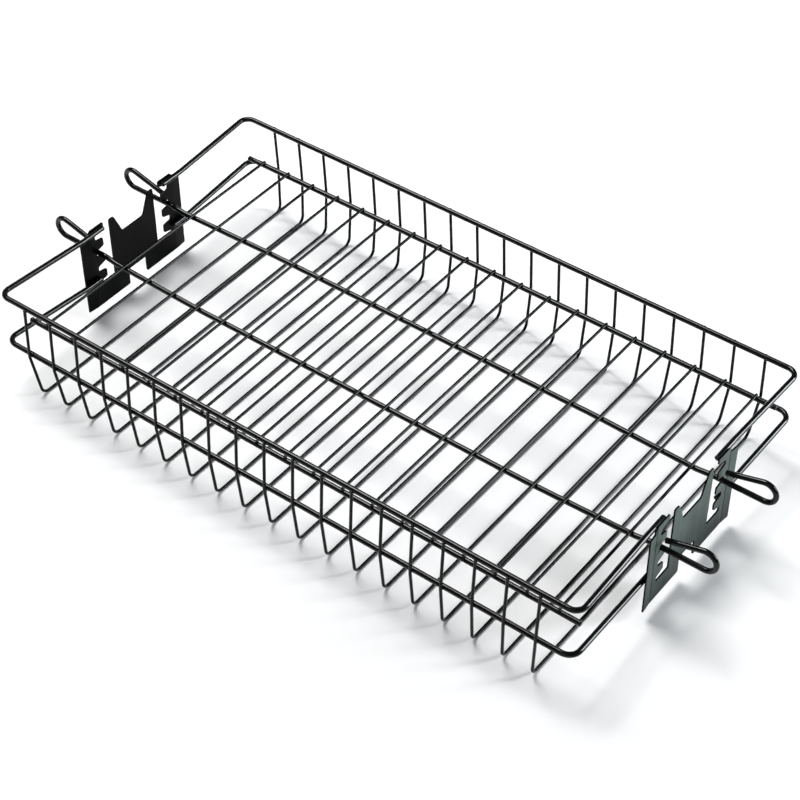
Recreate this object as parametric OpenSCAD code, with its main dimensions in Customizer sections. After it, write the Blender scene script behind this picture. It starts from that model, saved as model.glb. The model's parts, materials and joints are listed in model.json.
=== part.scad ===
// Wire grill basket for a flat rotisserie spit: a welded wire tray with two toothed
// end plates, and a wire lid held down by two springy latch rods.
// Millimetres, +Z up, +X along the length, floor at z = 0, centred on x = 0 and y = 0.

/* [Wires] */
// diameter of the rims, the lid rails and the latch rods
thick_d = 4.0; // [3:0.1:5.5]
// diameter of the ribs and of the lid cross wires
thin_d = 2.2; // [1.5:0.1:3.5]
// depth by which welded wires sink into each other
weld_sink = 0.1; // [0.02:0.01:0.2]

/* [Basket] */
// number of ribs, and of lid cross wires
rib_count = 19; // [5:2:19]
// distance from one rib to the next
rib_pitch = 24; // [16:1:32]
// half of the upper rim's length, to the wire centre
rim_half_l = 242.4; // [180:0.1:300]
// half of the upper rim's width, to the wire centre
rim_half_w = 132.6; // [90:0.1:160]
// height of the upper rim's wire centre
rim_z = 79; // [60:0.5:110]
// bend radius of the upper rim's corners, at the wire centre
rim_corner_r = 7.5; // [6:0.5:25]
// half of the lower rim's length, to the wire centre
low_half_l = 241.4; // [180:0.1:300]
// half of the lower rim's width, to the wire centre
low_half_w = 134.3; // [90:0.1:160]
// height of the lower rim's wire centre
low_z = 38.2; // [20:0.1:60]
// bend radius of the lower rim's corners
low_corner_r = 8.5; // [6:0.5:25]
// how far outside the upper rim's wire centre the ribs end
rib_top_out = 2.3; // [1.9:0.1:3]
// how far below the upper rim's wire centre the ribs end
rib_top_drop = 0.4; // [0:0.1:1.2]
// how far the upper rim's end legs dip where they meet the plates
leg_dip = 3; // [0:0.5:6]
// how far the lower rim's end legs dip where they meet the plates
low_leg_dip = 5.5; // [0:0.5:8]
// how far the upper rim's blunt ends stay from the middle
rim_end_y = 32.5; // [28:0.5:45]
// how far the lower rim's blunt ends stay from the middle
low_end_y = 40; // [33:0.5:46]
// half of the basket floor's width, to the ribs' lower corners
floor_half_w = 133.2; // [90:0.1:160]
// how far the two end ribs lean inward at the floor; the others lean less
end_lean = 3.4; // [0:0.1:8]
// bend radius of the ribs' lower corners
rib_corner_r = 6.5; // [3:0.5:15]

/* [End plates] */
// sheet thickness
plate_t = 1.2; // [0.8:0.1:2.5]
// distance of the plates' inner faces from the middle
plate_x = 241.2; // [180:0.1:300]
// half of a plate's width, edge strips included
plate_half_w = 53; // [45:0.5:60]
// distance of the crease from the middle
crease_y = 44.5; // [42:0.5:50]
// angle by which the edge strips lean outward
crease_angle = 6; // [0:1:15]
// height of a plate's lower edge
plate_bottom = 7; // [3:0.5:15]
// height of the tabs above the rim wire's ends
tab_top = 78.5; // [78:0.5:84]
// height of the edge strips' upper ends
strip_top = 73.5; // [70:0.5:75]
// height of the spit saddle's floor
saddle_z = 59; // [50:0.5:68]
// half of the spit saddle's floor width
saddle_half_w = 11; // [6:0.5:15]
// height of the two prongs beside the saddle
prong_top = 76.6; // [70:0.2:84]
// half of the lower cut-out's width
cutout_half_w = 9.5; // [5:0.5:20]
// height of the lower cut-out's top
cutout_top = 21; // [12:0.5:23]

/* [Latch slots] */
// inner edge of each slot
slot_in = 23.5; // [20:0.5:26]
// outer edge of each slot, along the teeth
slot_out = 31.5; // [29:0.5:34]
// height of the lowest notch
notch_z0 = 25.5; // [24:0.5:26]
// height from one notch to the next
notch_step = 14.5; // [12:0.5:14.5]
// number of notches in each slot
notch_count = 4; // [2:1:4]
// play between a rod and the notch around it
notch_play = 0.35; // [0.3:0.05:1]

/* [Lid] */
// height of the latch rods where they pass the plates
rod_z = 54.5; // [40:0.5:70]
// distance of the rods from the middle where they pass the plates
rod_y = 37; // [36:0.5:38]
// how far the rods step down inside the plates, to run under the cross wires
rod_step = 1.7; // [0.5:0.1:3]
// how much further apart the rods are in the lid's middle
rod_spread = 2.5; // [0.5:0.5:5]
// play between the rods and the cross wires above them
rod_play = 0.3; // [0.3:0.1:1]
// distance of the lid rails from the middle
rail_y = 119; // [80:0.5:125]
// half of the lid rails' length
rail_half_l = 232.5; // [180:0.5:233]
// distance from one cross wire to the next
wire_pitch = 24.15; // [16:0.05:24.3]
// how far the rails and cross wires sit towards the right on the rods
lid_shift = 3.4; // [-3.5:0.1:3.5]
// how far the cross wires reach past the rails' wire centres
wire_past = 0.4; // [0.2:0.1:6]

/* [Finger loops] */
// where the loops start to bend up, from the middle
loop_x = 273.6; // [262:0.1:290]
// bend radius of the loops' noses
loop_r = 8; // [5:0.5:12]
// angle that the noses turn through
loop_turn = 196; // [180:1:210]
// where the loops' free ends stop, from the middle
loop_end_x = 245; // [244:0.5:262]

/* [Hidden] */
thick_r = thick_d / 2;
thin_r = thin_d / 2;
// a thin wire welded beside a thick one
side_weld = thick_r + thin_r - weld_sink;
leg_x = plate_x - thick_r + weld_sink / 2;
wire_z = rod_z - rod_step + thick_r + rod_play + thin_r;
rail_z = wire_z - thin_r - thick_r + weld_sink / 2;
// the rods are level outside step_out and inside step_in, and spread out up to spread_x
step_out = plate_x - 5.8;
step_in = step_out - 12;
spread_x = step_in - 83;
step_bend_r = 30;
spread_bend_r = 200;
wire_half_l = rail_y + wire_past;
// wire draws a touch thinner in a bend, and each bend starts inside its straights
bend_thin = 0.01;
bend_lap = 0.06;
leg_bend_r = 30;
rib_bend_r = 12;
pocket_y = rod_y + thick_r + notch_play;
pocket_h = thick_r + notch_play;
pocket_r = pocket_h - 0.1;
slot_floor = notch_z0 - pocket_h;
mid = (rib_count + 1) / 2;
$fn = 48;

function two(i) = i < 10 ? str("0", i) : str(i);

// ---- bent wire ----

function unit(v) = v / norm(v);
// angle turned at b on the way from a to c
function turn(a, b, c) = acos(min(1, unit(b - a) * unit(c - b)));
// length that a bend of radius br takes from each side of b
function trim(a, b, c, br) = br * tan(turn(a, b, c) / 2);

// straight round wire from p to q, lengthened by from_lap and to_lap at its ends
module straight(p, q, r, from_lap = 0, to_lap = 0) {
    v = q - p;
    translate(p)
        rotate([0, acos(v.z / norm(v)), atan2(v.y, v.x)])
            translate([0, 0, -from_lap])
                cylinder(r = r, h = norm(v) + from_lap + to_lap);
}

// round elbow at b, between the directions a-b and b-c, in wire of radius r
module elbow(a, b, c, br, r) {
    u = unit(b - a);
    w = unit(c - b);
    half = turn(a, b, c) / 2;
    n = unit(cross(u, w));
    o = b + unit(w - u) * br / cos(half);
    e = (b - u * br * tan(half) - o) / br;
    multmatrix([[e.x, u.x, n.x, o.x],
                [e.y, u.y, n.y, o.y],
                [e.z, u.z, n.z, o.z],
                [0, 0, 0, 1]])
        rotate_extrude(angle = 2 * half)
            translate([br, 0]) circle(r = r - bend_thin);
}

// open wire through the points pts, with the bend radii br at the inner ones
module open_wire(pts, br, r) {
    last = len(pts) - 1;
    cut = [for (i = [0 : last])
        i == 0 || i == last ? 0 : trim(pts[i - 1], pts[i], pts[i + 1], br[i])];
    for (i = [0 : last - 1]) {
        u = unit(pts[i + 1] - pts[i]);
        straight(pts[i] + u * cut[i], pts[i + 1] - u * cut[i + 1], r,
                 i == 0 ? 0 : bend_lap, i + 1 == last ? 0 : bend_lap);
    }
    for (i = [1 : last - 1]) elbow(pts[i - 1], pts[i], pts[i + 1], br[i], r);
}

// ---- basket ----

// one half of a rim: a C whose blunt ends lie on the inner faces of the plates;
// side is -1 for the front and 1 for the back
module half_rim(side, half_l, half_w, z, corner_r, dip, end_y)
    color([0.05, 0.05, 0.055])
        open_wire(
            [[-leg_x, side * end_y, z - dip],
             [-leg_x, side * plate_half_w, z - dip],
             [-half_l, side * half_w, z],
             [half_l, side * half_w, z],
             [leg_x, side * plate_half_w, z - dip],
             [leg_x, side * end_y, z - dip]],
            [0, leg_bend_r, corner_r, corner_r, leg_bend_r, 0],
            thick_r);

module upper_rim(side)
    half_rim(side, rim_half_l, rim_half_w, rim_z, rim_corner_r, leg_dip, rim_end_y);

module upper_rim_front() upper_rim(-1);
module upper_rim_back() upper_rim(1);

module lower_rim(side)
    half_rim(side, low_half_l, low_half_w, low_z, low_corner_r, low_leg_dip, low_end_y);

module lower_rim_front() lower_rim(-1);
module lower_rim_back() lower_rim(1);

// U-shaped rib: over the outside of both rims and across the floor
module rib_wire(i) {
    x = (i - mid) * rib_pitch;
    top_y = rim_half_w + rib_top_out;
    top_z = rim_z - rib_top_drop;
    low_y = low_half_w + side_weld;
    floor_x = x * (1 - end_lean / ((mid - 1) * rib_pitch) * pow(abs(i - mid) / (mid - 1), 2));
    color([0.06, 0.06, 0.065])
        open_wire(
            [[x, -top_y, top_z],
             [x, -low_y, low_z],
             [floor_x, -floor_half_w, thin_r],
             [floor_x, floor_half_w, thin_r],
             [x, low_y, low_z],
             [x, top_y, top_z]],
            [0, rib_bend_r, rib_corner_r, rib_corner_r, rib_bend_r, 0],
            thin_r);
}

// ---- end plates ----

// points of the rounded corner b between a and c, each given as [y, z, corner radius]
function round_corner(a, b, c) =
    let (p = [a[0], a[1]], q = [b[0], b[1]], s = [c[0], c[1]],
         u = unit(p - q), w = unit(s - q),
         half = acos(u * w) / 2,
         o = q + unit(u + w) * b[2] / sin(half),
         from = q + u * b[2] / tan(half) - o,
         side = sign(u[0] * w[1] - u[1] * w[0]),
         steps = 4)
    b[2] == 0 ? [q] :
    [for (k = [0 : steps])
        let (t = -side * (180 - 2 * half) * k / steps)
        o + [from[0] * cos(t) - from[1] * sin(t), from[0] * sin(t) + from[1] * cos(t)]];

// corners of one notch, from its lower lip to its upper one
function notch(z) = [
    [slot_out, z - pocket_h - 1.3, 1.3],
    [pocket_y, z - pocket_h, pocket_r],
    [pocket_y, z + pocket_h, pocket_r],
    [slot_out, z + pocket_h + 2, 1.3]];

// corners of the flat plate's right half, from the saddle to the lower cut-out
half_plate = concat(
    [[saddle_half_w, saddle_z, 2.5],
     [slot_in - 5, prong_top, 1.8],
     [slot_in, prong_top, 1.2],
     [slot_in, slot_floor, 1.2],
     [pocket_y, slot_floor, pocket_r],
     [pocket_y, notch_z0 + pocket_h, pocket_r],
     [slot_out, notch_z0 + pocket_h + 2, 1.3]],
    [for (k = [1 : notch_count - 1]) for (c = notch(notch_z0 + k * notch_step)) c],
    [[slot_out - 1.8, tab_top - 4.2, 0.8],
     [slot_out - 1.8, tab_top, 1],
     [crease_y - 1.5, tab_top, 0],
     [crease_y + 1.5, tab_top - 3, 0],
     [crease_y + 1.5, strip_top, 0],
     [crease_y, strip_top, 0],
     [crease_y, plate_bottom, 0],
     [cutout_half_w, plate_bottom, 0.8],
     [cutout_half_w, cutout_top, 1.5]]);

// the same corners on the other side, in the opposite order
whole_plate = concat(half_plate,
    [for (k = [len(half_plate) - 1 : -1 : 0])
        [-half_plate[k][0], half_plate[k][1], half_plate[k][2]]]);

outline = [for (k = [0 : len(whole_plate) - 1])
    for (q = round_corner(
        whole_plate[(k + len(whole_plate) - 1) % len(whole_plate)],
        whole_plate[k],
        whole_plate[(k + 1) % len(whole_plate)])) q];

// the plate at the right-hand end
module end_plate() {
    translate([plate_x, 0, 0])
        rotate([90, 0, 90])
            linear_extrude(plate_t) polygon(outline);
    // edge strips, bent outward along the creases
    lean = (plate_half_w - crease_y) * tan(crease_angle);
    root_y = crease_y - 1;
    for (side = [-1, 1])
        translate([plate_x, 0, plate_bottom])
            linear_extrude(strip_top - plate_bottom)
                polygon([[0, side * root_y],
                         [0, side * crease_y],
                         [lean, side * plate_half_w],
                         [lean + plate_t, side * plate_half_w],
                         [plate_t, side * crease_y],
                         [plate_t, side * root_y]]);
}

module end_plate_right() color([0.16, 0.18, 0.17]) end_plate();
module end_plate_left() color([0.05, 0.05, 0.05]) mirror([1, 0, 0]) end_plate();

// ---- lid ----

module lid_rail(side)
    color([0.05, 0.05, 0.055])
        straight([lid_shift - rail_half_l, side * rail_y, rail_z],
                 [lid_shift + rail_half_l, side * rail_y, rail_z], thick_r);

module lid_rail_front() lid_rail(-1);
module lid_rail_back() lid_rail(1);

module lid_wire(i) {
    x = lid_shift + (i - mid) * wire_pitch;
    color([0.06, 0.06, 0.065])
        straight([x, -wire_half_l, wire_z], [x, wire_half_l, wire_z], thin_r);
}

// teardrop finger loop at the right-hand end of a rod that lies on the X axis:
// a round nose, and a strand that slopes back down to its blunt end
module finger_loop() {
    nose = [loop_x, 0, loop_r];
    top = nose + loop_r * [sin(loop_turn), 0, -cos(loop_turn)];
    down = [cos(loop_turn), 0, sin(loop_turn)];
    translate(nose) rotate([90, 0, 0]) rotate([0, 0, -90])
        rotate_extrude(angle = loop_turn)
            translate([loop_r, 0]) circle(r = thick_r - bend_thin);
    straight(top, top + down * (loop_end_x - top.x) / down.x, thick_r, bend_lap, 0);
}

// long rod that steps down and spreads out between the plates,
// with a finger loop standing up at each end
module latch_rod(side) {
    out = side * rod_spread;
    part_out = out * (step_out - step_in) / (step_out - spread_x);
    half = [[spread_x, out, -rod_step], [step_in, part_out, -rod_step],
            [step_out, 0, 0], [loop_x + bend_lap, 0, 0]];
    other = [for (k = [3 : -1 : 0]) [-half[k].x, half[k].y, half[k].z]];
    color([0.05, 0.05, 0.055])
        translate([0, side * rod_y, rod_z]) {
            open_wire(concat(other, half),
                      [0, step_bend_r, step_bend_r, spread_bend_r,
                       spread_bend_r, step_bend_r, step_bend_r, 0], thick_r);
            finger_loop();
            mirror([1, 0, 0]) finger_loop();
        }
}

module latch_rod_front() latch_rod(-1);
module latch_rod_back() latch_rod(1);

upper_rim_front();
upper_rim_back();
lower_rim_front();
lower_rim_back();
for (i = [1 : rib_count])
    rib_wire(i);
end_plate_left();
end_plate_right();
lid_rail_front();
lid_rail_back();
for (i = [1 : rib_count])
    lid_wire(i);
latch_rod_front();
latch_rod_back();
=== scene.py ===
"""Looks of the wire grill basket, built on the frame packed from its CAD model.

Metres, +X along the basket, +Y from front to back, +Z up.
"""

import json
import math

import bpy
from mathutils import Matrix, Vector, noise


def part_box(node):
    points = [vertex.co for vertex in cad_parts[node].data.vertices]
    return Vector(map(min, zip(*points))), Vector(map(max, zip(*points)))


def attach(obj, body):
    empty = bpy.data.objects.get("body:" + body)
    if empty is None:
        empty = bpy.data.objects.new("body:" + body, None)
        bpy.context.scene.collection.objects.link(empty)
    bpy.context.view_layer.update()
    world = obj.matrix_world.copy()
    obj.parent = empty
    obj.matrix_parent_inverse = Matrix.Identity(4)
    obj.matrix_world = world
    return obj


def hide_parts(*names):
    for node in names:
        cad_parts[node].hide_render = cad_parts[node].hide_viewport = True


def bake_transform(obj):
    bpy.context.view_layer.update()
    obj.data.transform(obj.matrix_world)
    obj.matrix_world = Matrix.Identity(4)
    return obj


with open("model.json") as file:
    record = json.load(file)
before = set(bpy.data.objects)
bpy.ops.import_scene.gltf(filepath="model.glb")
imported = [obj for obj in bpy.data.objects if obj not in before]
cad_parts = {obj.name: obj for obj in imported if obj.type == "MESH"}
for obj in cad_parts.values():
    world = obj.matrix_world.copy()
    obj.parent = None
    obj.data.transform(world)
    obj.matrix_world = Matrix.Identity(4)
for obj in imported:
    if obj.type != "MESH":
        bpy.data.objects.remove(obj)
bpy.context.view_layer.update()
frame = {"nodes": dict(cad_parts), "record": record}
nodes = frame["nodes"]
MM = 0.001

# ---- sizes read from the frame ----


def size_of(node):
    """Widths of a CAD node's box along X, Y and Z."""
    low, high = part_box(node)
    return high - low


def middle_of(node):
    """Centre of a CAD node's box."""
    low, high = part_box(node)
    return (low + high) / 2


THICK_R = size_of("lid_rail_front").z / 2
THIN_R = size_of("lid_wire_01").x / 2
RIBS = sorted(n for n in nodes if n.startswith("rib_wire"))
LID_WIRES = sorted(n for n in nodes if n.startswith("lid_wire"))
PLATES = ["end_plate_left", "end_plate_right"]
SIDES = {"front": -1, "back": 1}
ENDS = {"left": -1, "right": 1}

# ---- camera, at the photograph's viewing angle ----

CAMERA_AT = Vector((0.6334, -0.8203, 0.9976))
CAMERA_AZIMUTH = math.radians(37.33)
CAMERA_ELEVATION = math.radians(43.46)
CAMERA_ROLL = math.radians(0.18)
CAMERA_LENS = 91.07


def make_camera():
    look = Vector((-math.sin(CAMERA_AZIMUTH) * math.cos(CAMERA_ELEVATION),
                   math.cos(CAMERA_AZIMUTH) * math.cos(CAMERA_ELEVATION),
                   -math.sin(CAMERA_ELEVATION)))
    data = bpy.data.cameras.new("camera")
    data.sensor_width = 36
    data.lens = CAMERA_LENS
    data.clip_start, data.clip_end = 0.05, 30
    camera = bpy.data.objects.new("camera", data)
    bpy.context.scene.collection.objects.link(camera)
    camera.rotation_mode = "QUATERNION"
    camera.location = CAMERA_AT
    roll = Matrix.Rotation(CAMERA_ROLL, 4, look).to_quaternion()
    camera.rotation_quaternion = roll @ look.to_track_quat("-Z", "Y")
    bpy.context.scene.camera = camera


# ---- materials ----


class Shader:
    """A Principled material that is built node by node."""

    def __init__(self, name):
        self.material = bpy.data.materials.new(name)
        self.material.use_nodes = True
        self.tree = self.material.node_tree
        self.bsdf = self.tree.nodes["Principled BSDF"]
        self.coords = self.tree.nodes.new("ShaderNodeTexCoord").outputs["Object"]
        self.normal = None

    def put(self, socket, value):
        """Links value to an input socket if it is an output, or else sets it."""
        if isinstance(value, bpy.types.NodeSocket):
            self.tree.links.new(value, socket)
        else:
            socket.default_value = value

    def noise(self, scale, detail=3.0, rough=0.55, stretch=(1, 1, 1), warp=0.0):
        """Noise with scale lumps a metre, from 0 to 1."""
        place = self.tree.nodes.new("ShaderNodeMapping")
        self.put(place.inputs["Vector"], self.coords)
        place.inputs["Scale"].default_value = stretch
        node = self.tree.nodes.new("ShaderNodeTexNoise")
        self.put(node.inputs["Vector"], place.outputs["Vector"])
        node.inputs["Scale"].default_value = scale
        node.inputs["Detail"].default_value = detail
        node.inputs["Roughness"].default_value = rough
        node.inputs["Distortion"].default_value = warp
        return node.outputs["Fac"]

    def specks(self, scale, radius):
        """Round specks, 1 inside a speck and 0 elsewhere; radius is a share of their spacing."""
        node = self.tree.nodes.new("ShaderNodeTexVoronoi")
        self.put(node.inputs["Vector"], self.coords)
        node.inputs["Scale"].default_value = scale
        return self.span(node.outputs["Distance"], radius, radius * 0.5, 0.0, 1.0)

    def span(self, value, low, high, to_low, to_high):
        """Maps low..high to to_low..to_high, clamped."""
        node = self.tree.nodes.new("ShaderNodeMapRange")
        for name, number in (("From Min", low), ("From Max", high),
                             ("To Min", to_low), ("To Max", to_high)):
            node.inputs[name].default_value = number
        self.put(node.inputs["Value"], value)
        return node.outputs["Result"]

    def math(self, operation, a, b=0.0):
        node = self.tree.nodes.new("ShaderNodeMath")
        node.operation = operation
        self.put(node.inputs[0], a)
        self.put(node.inputs[1], b)
        return node.outputs[0]

    def mix(self, factor, a, b):
        """Colour or number mix of a and b."""
        node = self.tree.nodes.new("ShaderNodeMix")
        coloured = isinstance(a, tuple) or getattr(a, "type", "") == "RGBA"
        node.data_type = "RGBA" if coloured else "FLOAT"
        sockets = [s for s in node.inputs if s.enabled]
        self.put(sockets[0], factor)
        self.put(sockets[1], a)
        self.put(sockets[2], b)
        return next(s for s in node.outputs if s.enabled)

    def bump(self, height, distance, strength=1.0):
        """Stacks one more bump layer; distance is its height in metres."""
        node = self.tree.nodes.new("ShaderNodeBump")
        node.inputs["Distance"].default_value = distance
        node.inputs["Strength"].default_value = strength
        self.put(node.inputs["Height"], height)
        if self.normal is not None:
            self.put(node.inputs["Normal"], self.normal)
        self.normal = node.outputs["Normal"]

    def finish(self, colour, roughness, **constants):
        """Fills the shader; constants are numbers that are the same all over."""
        self.put(self.bsdf.inputs["Base Color"], colour)
        self.put(self.bsdf.inputs["Roughness"], roughness)
        for name, number in constants.items():
            self.bsdf.inputs[name.replace("_", " ")].default_value = number
        if self.normal is not None:
            self.put(self.bsdf.inputs["Normal"], self.normal)
            self.put(self.bsdf.inputs["Coat Normal"], self.normal)
        return self.material


def rgb(red, green, blue):
    return (red, green, blue, 1.0)


def enamel(name, tone=1.0, lump=700, ior=1.33):
    """Gloss black heat-resistant coating: deep black, slightly uneven gloss, fine orange peel."""
    s = Shader(name)
    cloud = s.noise(45, detail=4)
    deep = rgb(0.0012 * tone, 0.0015 * tone, 0.0015 * tone)
    pale = rgb(0.0040 * tone, 0.0046 * tone, 0.0046 * tone)
    colour = s.mix(s.span(cloud, 0.35, 0.7, 0, 1), deep, pale)
    dust = s.math("MULTIPLY", s.specks(900, 0.16), s.span(s.noise(25), 0.5, 0.62, 0, 0.35))
    colour = s.mix(dust, colour, rgb(0.07, 0.068, 0.065))
    smears = s.noise(110, detail=5, stretch=(0.35, 1, 1), warp=0.6)
    rough = s.span(smears, 0.3, 0.75, 0.09, 0.21)
    rough = s.math("ADD", rough, s.math("MULTIPLY", dust, 0.5))
    s.bump(s.noise(lump, detail=2), 0.00005)
    s.bump(s.noise(3200, detail=2), 0.00001)
    return s.finish(colour, rough, IOR=ior, Coat_Weight=0.1, Coat_Roughness=0.04, Coat_IOR=1.4)


# the creases of the end plates, and the height over which a painted shade darkens their outer faces
# towards the bottom
CREASE_Y = 44.5 * MM
PAINTED_SHADE_FULL_BELOW, PAINTED_SHADE_GONE_ABOVE = 20 * MM, 62 * MM


def plate_coating(name):
    """Pressed sheet, satin grey-green with creases on the outer face; painted shade makes the inner
    face near-black, the outer face darker towards the bottom and dark along the creases.
    """
    s = Shader(name)
    split = s.tree.nodes.new("ShaderNodeSeparateXYZ")
    s.put(split.inputs[0], s.coords)
    facing = s.tree.nodes.new("ShaderNodeSeparateXYZ")
    s.put(facing.inputs[0], s.tree.nodes.new("ShaderNodeNewGeometry").outputs["Normal"])
    outward = s.math("MULTIPLY", split.outputs["X"], facing.outputs["X"])
    outer = s.span(outward, 0.05, 0.12, 0, 1)
    cloud = s.noise(38, detail=5)
    shade_edge_noise = s.noise(11, detail=3)
    # painted shade: the inner face is coloured near-black to stand for the shade and dark
    # reflections that fall on it
    inner_painted_shade = s.mix(s.span(cloud, 0.35, 0.7, 0, 1),
                       rgb(0.0005, 0.0006, 0.0006), rgb(0.0022, 0.0024, 0.0026))
    outer_tone = s.mix(s.span(cloud, 0.3, 0.75, 0, 1),
                       rgb(0.075, 0.102, 0.092), rgb(0.110, 0.140, 0.126))
    # painted shade: the outer face is coloured darker towards the bottom, with a noisy edge
    low_painted_shade = rgb(0.022, 0.028, 0.029)
    height = s.math("ADD", split.outputs["Z"], s.math("MULTIPLY", shade_edge_noise, 0.02))
    outer_tone = s.mix(s.span(height, PAINTED_SHADE_FULL_BELOW, PAINTED_SHADE_GONE_ABOVE, 1, 0), outer_tone, low_painted_shade)
    # painted shade: a thin dark line along each crease, over the same mask that bumps a real groove
    across = s.math("ABSOLUTE", split.outputs["Y"])
    off_crease = s.math("ABSOLUTE", s.math("SUBTRACT", across, CREASE_Y))
    crease_groove_and_shade = s.span(off_crease, 0.3 * MM, 0.65 * MM, 1, 0)
    outer_tone = s.mix(crease_groove_and_shade, outer_tone, rgb(0.004, 0.005, 0.005))
    colour = s.mix(outer, inner_painted_shade, outer_tone)
    rolling = s.noise(260, detail=4, stretch=(1, 1, 0.08))
    inner_rough = s.span(cloud, 0.3, 0.75, 0.28, 0.42)
    outer_rough = s.span(rolling, 0.3, 0.75, 0.36, 0.5)
    rough = s.mix(outer, inner_rough, outer_rough)
    s.bump(s.math("SUBTRACT", 1.0, crease_groove_and_shade), 0.0003)
    s.bump(s.noise(420, detail=3), 0.00004)
    s.bump(rolling, 0.000008)
    return s.finish(colour, rough, IOR=1.45, Specular_IOR_Level=0.07)


def floor_paper():
    """Pale matt studio floor."""
    s = Shader("floor_paper")
    colour = s.mix(s.span(s.noise(3, detail=4), 0.3, 0.7, 0, 1),
                   rgb(0.83, 0.83, 0.83), rgb(0.86, 0.86, 0.86))
    return s.finish(colour, 0.7, Specular_IOR_Level=0.2)


MATERIALS = {
    "thick_wire": enamel("thick_wire_enamel"),
    "thin_wire": enamel("thin_wire_enamel", tone=0.8, lump=900, ior=1.2),
    "latch_wire": enamel("latch_wire_enamel", tone=1.05),
    "plate_coating": plate_coating("plate_coating"),
    "weld_enamel": enamel("weld_enamel", tone=1.1, lump=1100),
}


# ---- meshes ----


def make_object(name, verts, faces, material):
    """A smooth mesh object with one material."""
    mesh = bpy.data.meshes.new(name)
    mesh.from_pydata(verts, [], faces)
    mesh.materials.append(material)
    mesh.polygons.foreach_set("use_smooth", [True] * len(mesh.polygons))
    mesh.update()
    piece = bpy.data.objects.new(name, mesh)
    bpy.context.scene.collection.objects.link(piece)
    return piece


class Mesh:
    """Collects verts and faces of several closed shapes."""

    def __init__(self):
        self.verts, self.faces = [], []

    def rings(self, rings, first=None, last=None):
        """Skins a list of equal rings; first and last close the ends in a point."""
        base, count = len(self.verts), len(rings[0])
        for ring in rings:
            self.verts.extend(ring)
        for i in range(len(rings) - 1):
            a, b = base + i * count, base + (i + 1) * count
            for k in range(count):
                j = (k + 1) % count
                self.faces.append((a + k, a + j, b + j, b + k))
        last_ring = base + (len(rings) - 1) * count
        for point, start, flip in ((first, base, True), (last, last_ring, False)):
            if point is None:
                continue
            self.verts.append(point)
            for k in range(count):
                face = (start + k, start + (k + 1) % count, len(self.verts) - 1)
                self.faces.append(face[::-1] if flip else face)

    def object(self, name, material):
        return make_object(name, self.verts, self.faces, material)


def ring_at(centre, across, up, radius, count):
    """Points of a circle, counter-clockwise about across x up."""
    return [centre + (across * math.cos(t) + up * math.sin(t)) * radius
            for t in (2 * math.pi * k / count for k in range(count))]


def frame_along(direction):
    """Two unit vectors square to direction; with it they make a right-handed set."""
    helper = Vector((0, 0, 1)) if abs(direction.z) < 0.9 else Vector((0, 1, 0))
    across = helper.cross(direction).normalized()
    return across, direction.cross(across)


# a rod's free end: radius of its edge, and how far the coating domes over it
END_ROUND = 0.45 * MM
TIP_DOME = 0.18 * MM


def wire(mesh, path, radius, count=20):
    """A round wire along path: cut flat at its start, with a coated, domed end."""
    directions = []
    for i in range(len(path)):
        before = path[max(i, 1)] - path[max(i, 1) - 1]
        after = path[min(i, len(path) - 2) + 1] - path[min(i, len(path) - 2)]
        directions.append((before.normalized() + after.normalized()).normalized())
    across, up = frame_along(directions[0])
    rings = []
    for at, direction in zip(path[:-1], directions):
        across = up.cross(direction).normalized()
        up = direction.cross(across)
        rings.append(ring_at(at, across, up, radius, count))
    for turn in (math.radians(a) for a in (0, 30, 60, 90)):
        at = path[-1] - directions[-1] * (END_ROUND * (1 - math.sin(turn)))
        rings.append(ring_at(at, across, up, radius - END_ROUND * (1 - math.cos(turn)), count))
    mesh.rings(rings, path[0], path[-1] + directions[-1] * TIP_DOME)


def bent_path(corners, radii, step):
    """Points along a polyline whose corners are rounded to radii, at most step apart."""
    path = [corners[0]]

    def walk_to(goal):
        start = path[-1]
        count = max(1, math.ceil((goal - start).length / step))
        path.extend(start.lerp(goal, k / count) for k in range(1, count + 1))

    for before, corner, after, radius in zip(corners, corners[1:], corners[2:], radii):
        back, ahead = (before - corner).normalized(), (after - corner).normalized()
        half = (math.pi - back.angle(ahead)) / 2
        trim = radius * math.tan(half)
        walk_to(corner + back * trim)
        bisector = (back + ahead).normalized()
        centre = corner + bisector * radius / math.cos(half)
        sideways = (ahead - back).normalized()
        count = max(3, math.ceil(2 * radius * half / step))
        for k in range(1, count + 1):
            turn = -half + 2 * half * k / count
            path.append(centre + (sideways * math.sin(turn) - bisector * math.cos(turn)) * radius)
    walk_to(corners[-1])
    return path


BEAD_PROUD, BEAD_ROOT, BEAD_FULL, BEAD_TUCK = 0.03 * MM, 0.6 * MM, 0.35 * MM, 0.25 * MM
BEAD_DOME = 0.9 * MM


def tip(mesh, end, direction, radius, count=18):
    """The rounded bead of coating over a wire's cut end."""
    direction = Vector(direction).normalized()
    across, up = frame_along(direction)
    dome = min(0.7 * radius, BEAD_DOME)
    profile = [(radius - BEAD_TUCK, -BEAD_ROOT), (radius + BEAD_PROUD, -BEAD_FULL)]
    profile += [((radius + BEAD_PROUD) * math.cos(t), dome * math.sin(t))
                for t in (math.radians(a) for a in (0, 20, 40, 60, 76))]
    rings = [ring_at(end + direction * z, across, up, r, count) for r, z in profile]
    mesh.rings(rings, end - direction * BEAD_ROOT, end + direction * dome)


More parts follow.
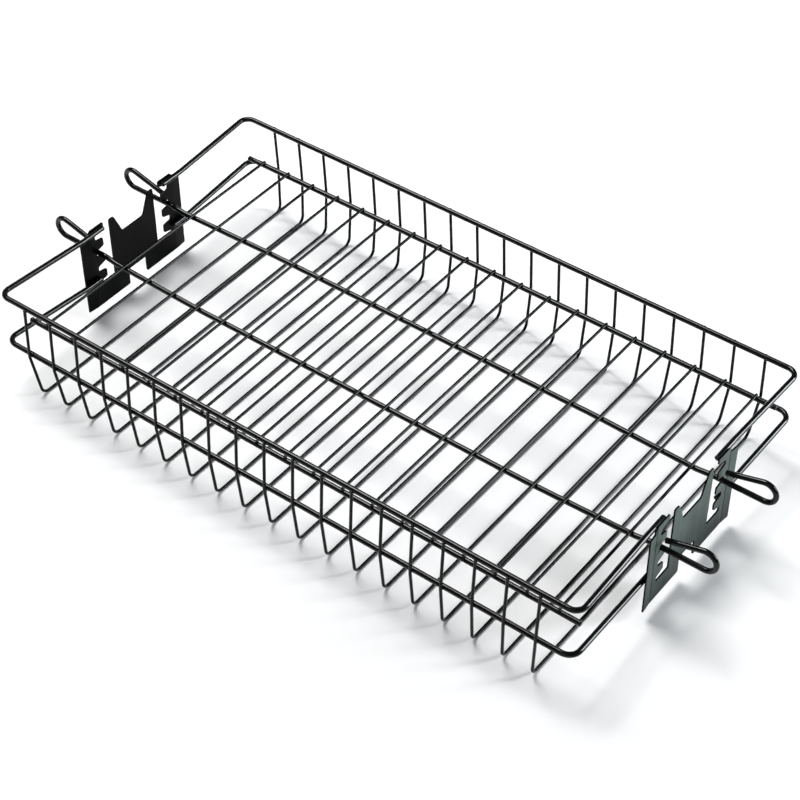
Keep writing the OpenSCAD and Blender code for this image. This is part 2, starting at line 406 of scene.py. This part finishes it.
def weld(mesh, centre, along, over, reach, seed):
    """A weld nugget at a crossing of wires that run along and over; reach is its three radii."""
    along, over = Vector(along).normalized(), Vector(over).normalized()
    out = along.cross(over).normalized()
    over = out.cross(along)
    levels, count = 9, 14
    rings = []
    for i in range(1, levels):
        lat = math.pi * i / levels - math.pi / 2
        ring = []
        for k in range(count):
            t = 2 * math.pi * k / count
            d = Vector((math.cos(t) * math.cos(lat), math.sin(t) * math.cos(lat), math.sin(lat)))
            swell = 1 + 0.16 * noise.noise(d * 1.7 + Vector((seed * 3.7, 0, 0)))
            p = Vector(c * r for c, r in zip(d, reach)) * swell
            ring.append(centre + along * p.x + over * p.y + out * p.z)
        rings.append(ring)
    mesh.rings(rings, centre - out * reach[2], centre + out * reach[2])


def place(mesh, name, material, slot, body):
    piece = mesh.object(name, MATERIALS[material])
    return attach(piece, body)


# ---- CAD nodes: coating and softened sheet edges ----


def coat_cad_nodes():
    for entry in frame["record"]["subparts"]:
        node = nodes[entry["node"]]
        node.data.materials.clear()
        node.data.materials.append(MATERIALS[entry["material_slot"]])


def soften_plate_edges():
    """Sheared sheet edges carry a small round of coating."""
    for name in PLATES:
        bevel = nodes[name].modifiers.new("coated_edges", "BEVEL")
        bevel.width = 0.22 * MM
        bevel.segments = 2
        bevel.limit_method = "ANGLE"
        bevel.angle_limit = math.radians(50)
        bevel.harden_normals = False


# ---- latch rods ----

LOOP_R = 8 * MM
LOOP_TURN = math.radians(196)
LOOP_END_X = 245 * MM
PLATE_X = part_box("end_plate_right")[0].x
# inside the plates each rod steps down under the cross wires, and spreads out
STEP_OUT = PLATE_X - 5.8 * MM
STEP_IN = STEP_OUT - 12 * MM
SPREAD_X = STEP_IN - 83 * MM
STEP_BEND_R = 30 * MM
SPREAD_BEND_R = 200 * MM
ROD_FREE_X = 80 * MM
ROD_RING_STEP = 5 * MM
MIDDLE_X = middle_of(LID_WIRES[len(LID_WIRES) // 2]).x


def rod_places(side):
    """Centre line of a rod: its Y and Z in the middle, then its Y and Z at the plates."""
    low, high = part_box(f"latch_rod_{side}")
    way = SIDES[side]
    outer, inner = max(abs(low.y), abs(high.y)), min(abs(low.y), abs(high.y))
    return (way * (outer - THICK_R), low.z + THICK_R,
            way * (inner + THICK_R), high.z - THICK_R - 2 * LOOP_R)


def rod_half_path(side, end):
    """Centre line of half a latch rod, from the lid's middle to the free end of its finger loop."""
    middle_y, middle_z, end_y, end_z = rod_places(side)
    loop_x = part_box(f"latch_rod_{side}")[1].x - THICK_R - LOOP_R
    step_y = end_y + (middle_y - end_y) * (STEP_OUT - STEP_IN) / (STEP_OUT - SPREAD_X)
    corners = [Vector(p) for p in (
        (MIDDLE_X, middle_y, middle_z), (end * SPREAD_X, middle_y, middle_z),
        (end * STEP_IN, step_y, middle_z), (end * STEP_OUT, end_y, end_z),
        (end * loop_x, end_y, end_z))]
    path = bent_path(corners, (SPREAD_BEND_R, STEP_BEND_R, STEP_BEND_R), ROD_RING_STEP)
    turns = 28
    for turn in (LOOP_TURN * k / turns for k in range(1, turns + 1)):
        path.append(Vector((end * (loop_x + LOOP_R * math.sin(turn)), end_y,
                            end_z + LOOP_R * (1 - math.cos(turn)))))
    top = path[-1]
    run = LOOP_END_X - abs(top.x)
    foot = top + Vector((end * run, 0, run * math.tan(LOOP_TURN)))
    strand = 6
    path += [top.lerp(foot, k / strand) for k in range(1, strand + 1)]
    return path


def make_latch_rods():
    """Each rod is two halves that meet under the lid's middle wire."""
    for side in SIDES:
        middle_y, middle_z, end_y, end_z = rod_places(side)
        for end_name, end in ENDS.items():
            mesh = Mesh()
            wire(mesh, rod_half_path(side, end), THICK_R, count=28)
            piece = mesh.object(f"latch_rod_{side}_{end_name}_half", MATERIALS["latch_wire"])
            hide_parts(f"latch_rod_{side}")
            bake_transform(piece)


# ---- ribs, rails and rims, read off the frame ----

WELD_SINK = 0.1 * MM
RIB_TOP_OUT = 2.3 * MM
RIM_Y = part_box("upper_rim_back")[1].y - THICK_R
RIM_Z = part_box("upper_rim_back")[1].z - THICK_R
RIM_END_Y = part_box("upper_rim_back")[0].y
RIM_END_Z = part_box("upper_rim_back")[0].z + THICK_R
LOW_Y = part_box("lower_rim_back")[1].y - THICK_R
LOW_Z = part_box("lower_rim_back")[1].z - THICK_R
LOW_END_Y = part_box("lower_rim_back")[0].y
LOW_END_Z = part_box("lower_rim_back")[0].z + THICK_R
LEG_X = PLATE_X - THICK_R
RIB_TOP = Vector((0, RIM_Y + RIB_TOP_OUT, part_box(RIBS[0])[1].z))
RIB_AT_LOW_RIM = Vector((0, LOW_Y + THICK_R + THIN_R - WELD_SINK, LOW_Z))


def centre_x(node):
    return middle_of(node).x


def rib_top_x(node):
    """A rib leans inward below the rims, so its top is the outer side of its box."""
    low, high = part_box(node)
    return low.x + THIN_R if low.x + high.x < 0 else high.x - THIN_R


# ---- coated ends ----


def wire_ends():
    """Beads of coating on every cut wire end."""
    basket, lid = Mesh(), Mesh()
    rise = RIB_TOP - RIB_AT_LOW_RIM
    for name in RIBS:
        for side in SIDES.values():
            end = Vector((rib_top_x(name), side * RIB_TOP.y, RIB_TOP.z))
            tip(basket, end, (0, side * rise.y, rise.z), THIN_R)
    for side in SIDES.values():
        for end in ENDS.values():
            tip(basket, Vector((end * LEG_X, side * RIM_END_Y, RIM_END_Z)), (0, -side, 0), THICK_R)
            tip(basket, Vector((end * LEG_X, side * LOW_END_Y, LOW_END_Z)), (0, -side, 0), THICK_R)
    for name in LID_WIRES:
        low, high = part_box(name)
        for y, way in ((low.y, -1), (high.y, 1)):
            tip(lid, Vector((centre_x(name), y, (low.z + high.z) / 2)), (0, way, 0), THIN_R)
    for side in SIDES:
        low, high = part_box(f"lid_rail_{side}")
        for x, way in ((low.x, -1), (high.x, 1)):
            tip(lid, Vector((x, (low.y + high.y) / 2, (low.z + high.z) / 2)), (way, 0, 0), THICK_R)
    place(basket, "basket_wire_ends", "weld_enamel", "thin_wire", "basket")
    place(lid, "lid_wire_ends", "weld_enamel", "thin_wire", "lid")


# ---- welds ----

# radii of the nuggets, along the first wire, along the other one and out of both
CROSSING = (1.25 * MM, 1.45 * MM, 0.75 * MM)
LONG_WELD = (3.2 * MM, 1.2 * MM, 0.9 * MM)
# how deep the nuggets sit: in from the upper rim's outside, below its middle, below the lid wires
RIB_WELD_IN, RIB_WELD_DROP, ROD_WELD_DROP = 0.35 * MM, 0.9 * MM, 0.15 * MM
# distances from the middle of the welds that hold the rims' ends to the plates
UPPER_WELDS_Y = (34.5 * MM, 42.5 * MM)
LOWER_WELDS_Y = (43 * MM, 48.5 * MM)
ALONG_X, ALONG_Y, ALONG_Z = Vector((1, 0, 0)), Vector((0, 1, 0)), Vector((0, 0, 1))


def basket_welds():
    """Nuggets where the ribs meet the rims, and where the rims meet the plates."""
    ribs, plates = Mesh(), Mesh()
    seed = 0
    for name in RIBS:
        for side in SIDES.values():
            x = rib_top_x(name)
            seed += 1
            weld(ribs, Vector((x, side * (RIM_Y + THICK_R - RIB_WELD_IN), RIM_Z - RIB_WELD_DROP)),
                 ALONG_X, ALONG_Z, CROSSING, seed)
            weld(ribs, Vector((x, side * (LOW_Y + THICK_R), LOW_Z)),
                 ALONG_X, ALONG_Z, CROSSING, seed + 0.5)
    for end in ENDS.values():
        for side in SIDES.values():
            for places, z in ((UPPER_WELDS_Y, RIM_END_Z), (LOWER_WELDS_Y, LOW_END_Z)):
                for y in places:
                    seed += 1
                    weld(plates, Vector((end * PLATE_X, side * y, z)),
                         ALONG_Y, ALONG_Z, LONG_WELD, seed)
    place(ribs, "rib_welds", "weld_enamel", "thin_wire", "basket")
    place(plates, "plate_welds", "weld_enamel", "thick_wire", "basket")


def lid_welds():
    """Nuggets where the cross wires meet the rails, and the rods' welded middle."""
    rails, rods = Mesh(), Mesh()
    wire_z = middle_of(LID_WIRES[0]).z
    seed = 100
    for name in LID_WIRES:
        for side in SIDES:
            seed += 1
            y = middle_of(f"lid_rail_{side}").y
            weld(rails, Vector((centre_x(name), y, wire_z - THIN_R)),
                 ALONG_X, ALONG_Y, CROSSING, seed)
            if abs(centre_x(name)) > ROD_FREE_X:
                continue
            y = rod_places(side)[0]
            weld(rods, Vector((centre_x(name), y, wire_z - THIN_R - ROD_WELD_DROP)),
                 ALONG_X, ALONG_Y, CROSSING, seed + 0.5)
    place(rails, "lid_rail_welds", "weld_enamel", "thin_wire", "lid")
    place(rods, "lid_rod_welds", "weld_enamel", "thin_wire", "lid")


# ---- floor and light ----


def make_floor():
    bpy.ops.mesh.primitive_plane_add(size=14, location=(0, 0, 0))
    floor = bpy.context.object
    floor.name = "floor"
    floor.data.materials.append(floor_paper())


def softbox(name, at, towards, width, height, power, colour=(1, 1, 1)):
    data = bpy.data.lights.new(name, "AREA")
    data.shape = "RECTANGLE"
    data.size, data.size_y = width, height
    data.energy = power
    data.color = colour
    lamp = bpy.data.objects.new(name, data)
    bpy.context.scene.collection.objects.link(lamp)
    lamp.location = at
    lamp.rotation_mode = "QUATERNION"
    lamp.rotation_quaternion = (Vector(towards) - Vector(at)).to_track_quat("-Z", "Y")


def make_light():
    world = bpy.data.worlds.new("studio")
    world.use_nodes = True
    back = world.node_tree.nodes["Background"]
    back.inputs["Color"].default_value = rgb(0.94, 0.96, 1.0)
    back.inputs["Strength"].default_value = 0.1
    bpy.context.scene.world = world
    softbox("key", (-1.0, 0.25, 2.0), (0, 0, 0), 1.1, 1.1, 60)
    softbox("strip", (1.55, 1.25, 0.75), (0, 0, 0.04), 0.4, 1.2, 40, (0.93, 0.97, 1.0))
    softbox("fill", (0.4, -1.9, 1.5), (0, 0, 0.03), 1.6, 0.5, 4)
    view = bpy.context.scene.view_settings
    view.view_transform = "Standard"
    view.look = "None"


make_camera()
coat_cad_nodes()
soften_plate_edges()
make_latch_rods()
wire_ends()
basket_welds()
lid_welds()
make_floor()
make_light()
